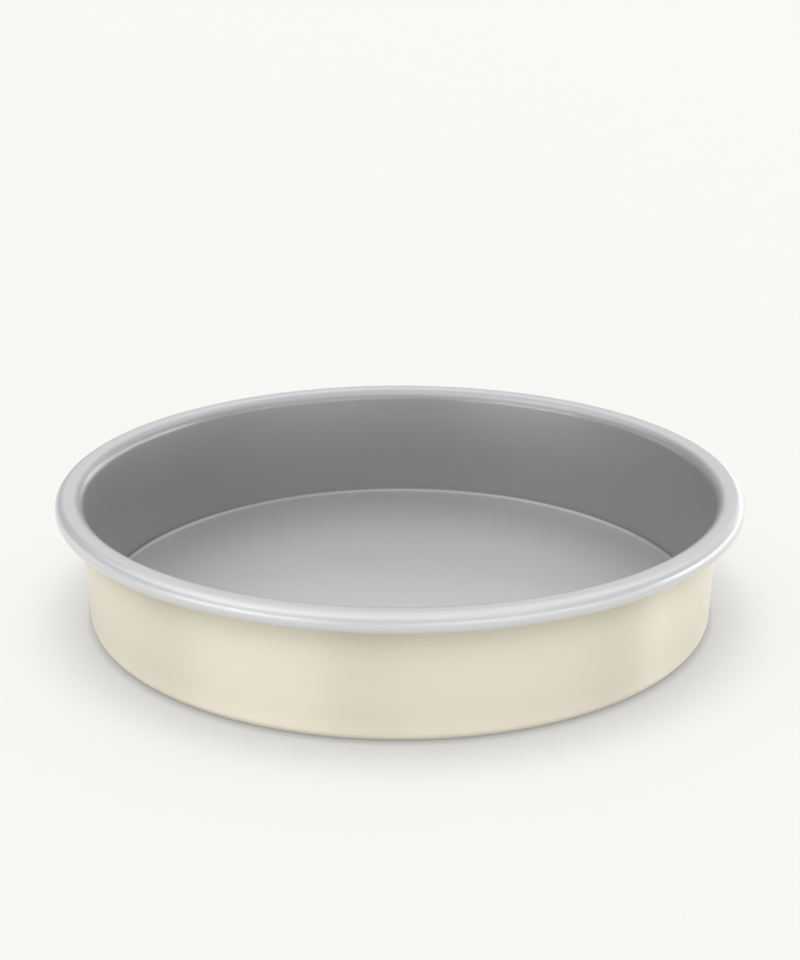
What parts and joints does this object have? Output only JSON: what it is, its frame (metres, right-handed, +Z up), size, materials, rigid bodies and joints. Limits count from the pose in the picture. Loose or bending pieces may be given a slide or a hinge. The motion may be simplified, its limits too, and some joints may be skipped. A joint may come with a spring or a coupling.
{
  "type": "round baking pan",
  "caption": "Round, nearly straight-sided baking pan with a rolled rim around a wire, a grey release lining inside and cream enamel outside.",
  "frame": {"origin": "centre of the underside, on the surface that the pan stands on", "axes": "+Z up along the pan's axis, from the underside to the rim; X and Y are level, and any pair serves because the pan is round"},
  "size_m": [0.249, 0.249, 0.0473],
  "materials": {
    "coated_steel": "matt aluminised steel sheet",
    "wire_steel": "drawn steel wire",
    "grey_release_coat": "satin grey non-stick coat",
    "cream_enamel": "satin cream enamel"
  },
  "bodies": {
    "root": {"pressed_shell": "coated_steel", "rim_wire": "wire_steel", "release_lining": "grey_release_coat", "outer_enamel": "cream_enamel"}
  },
  "joints": []
}
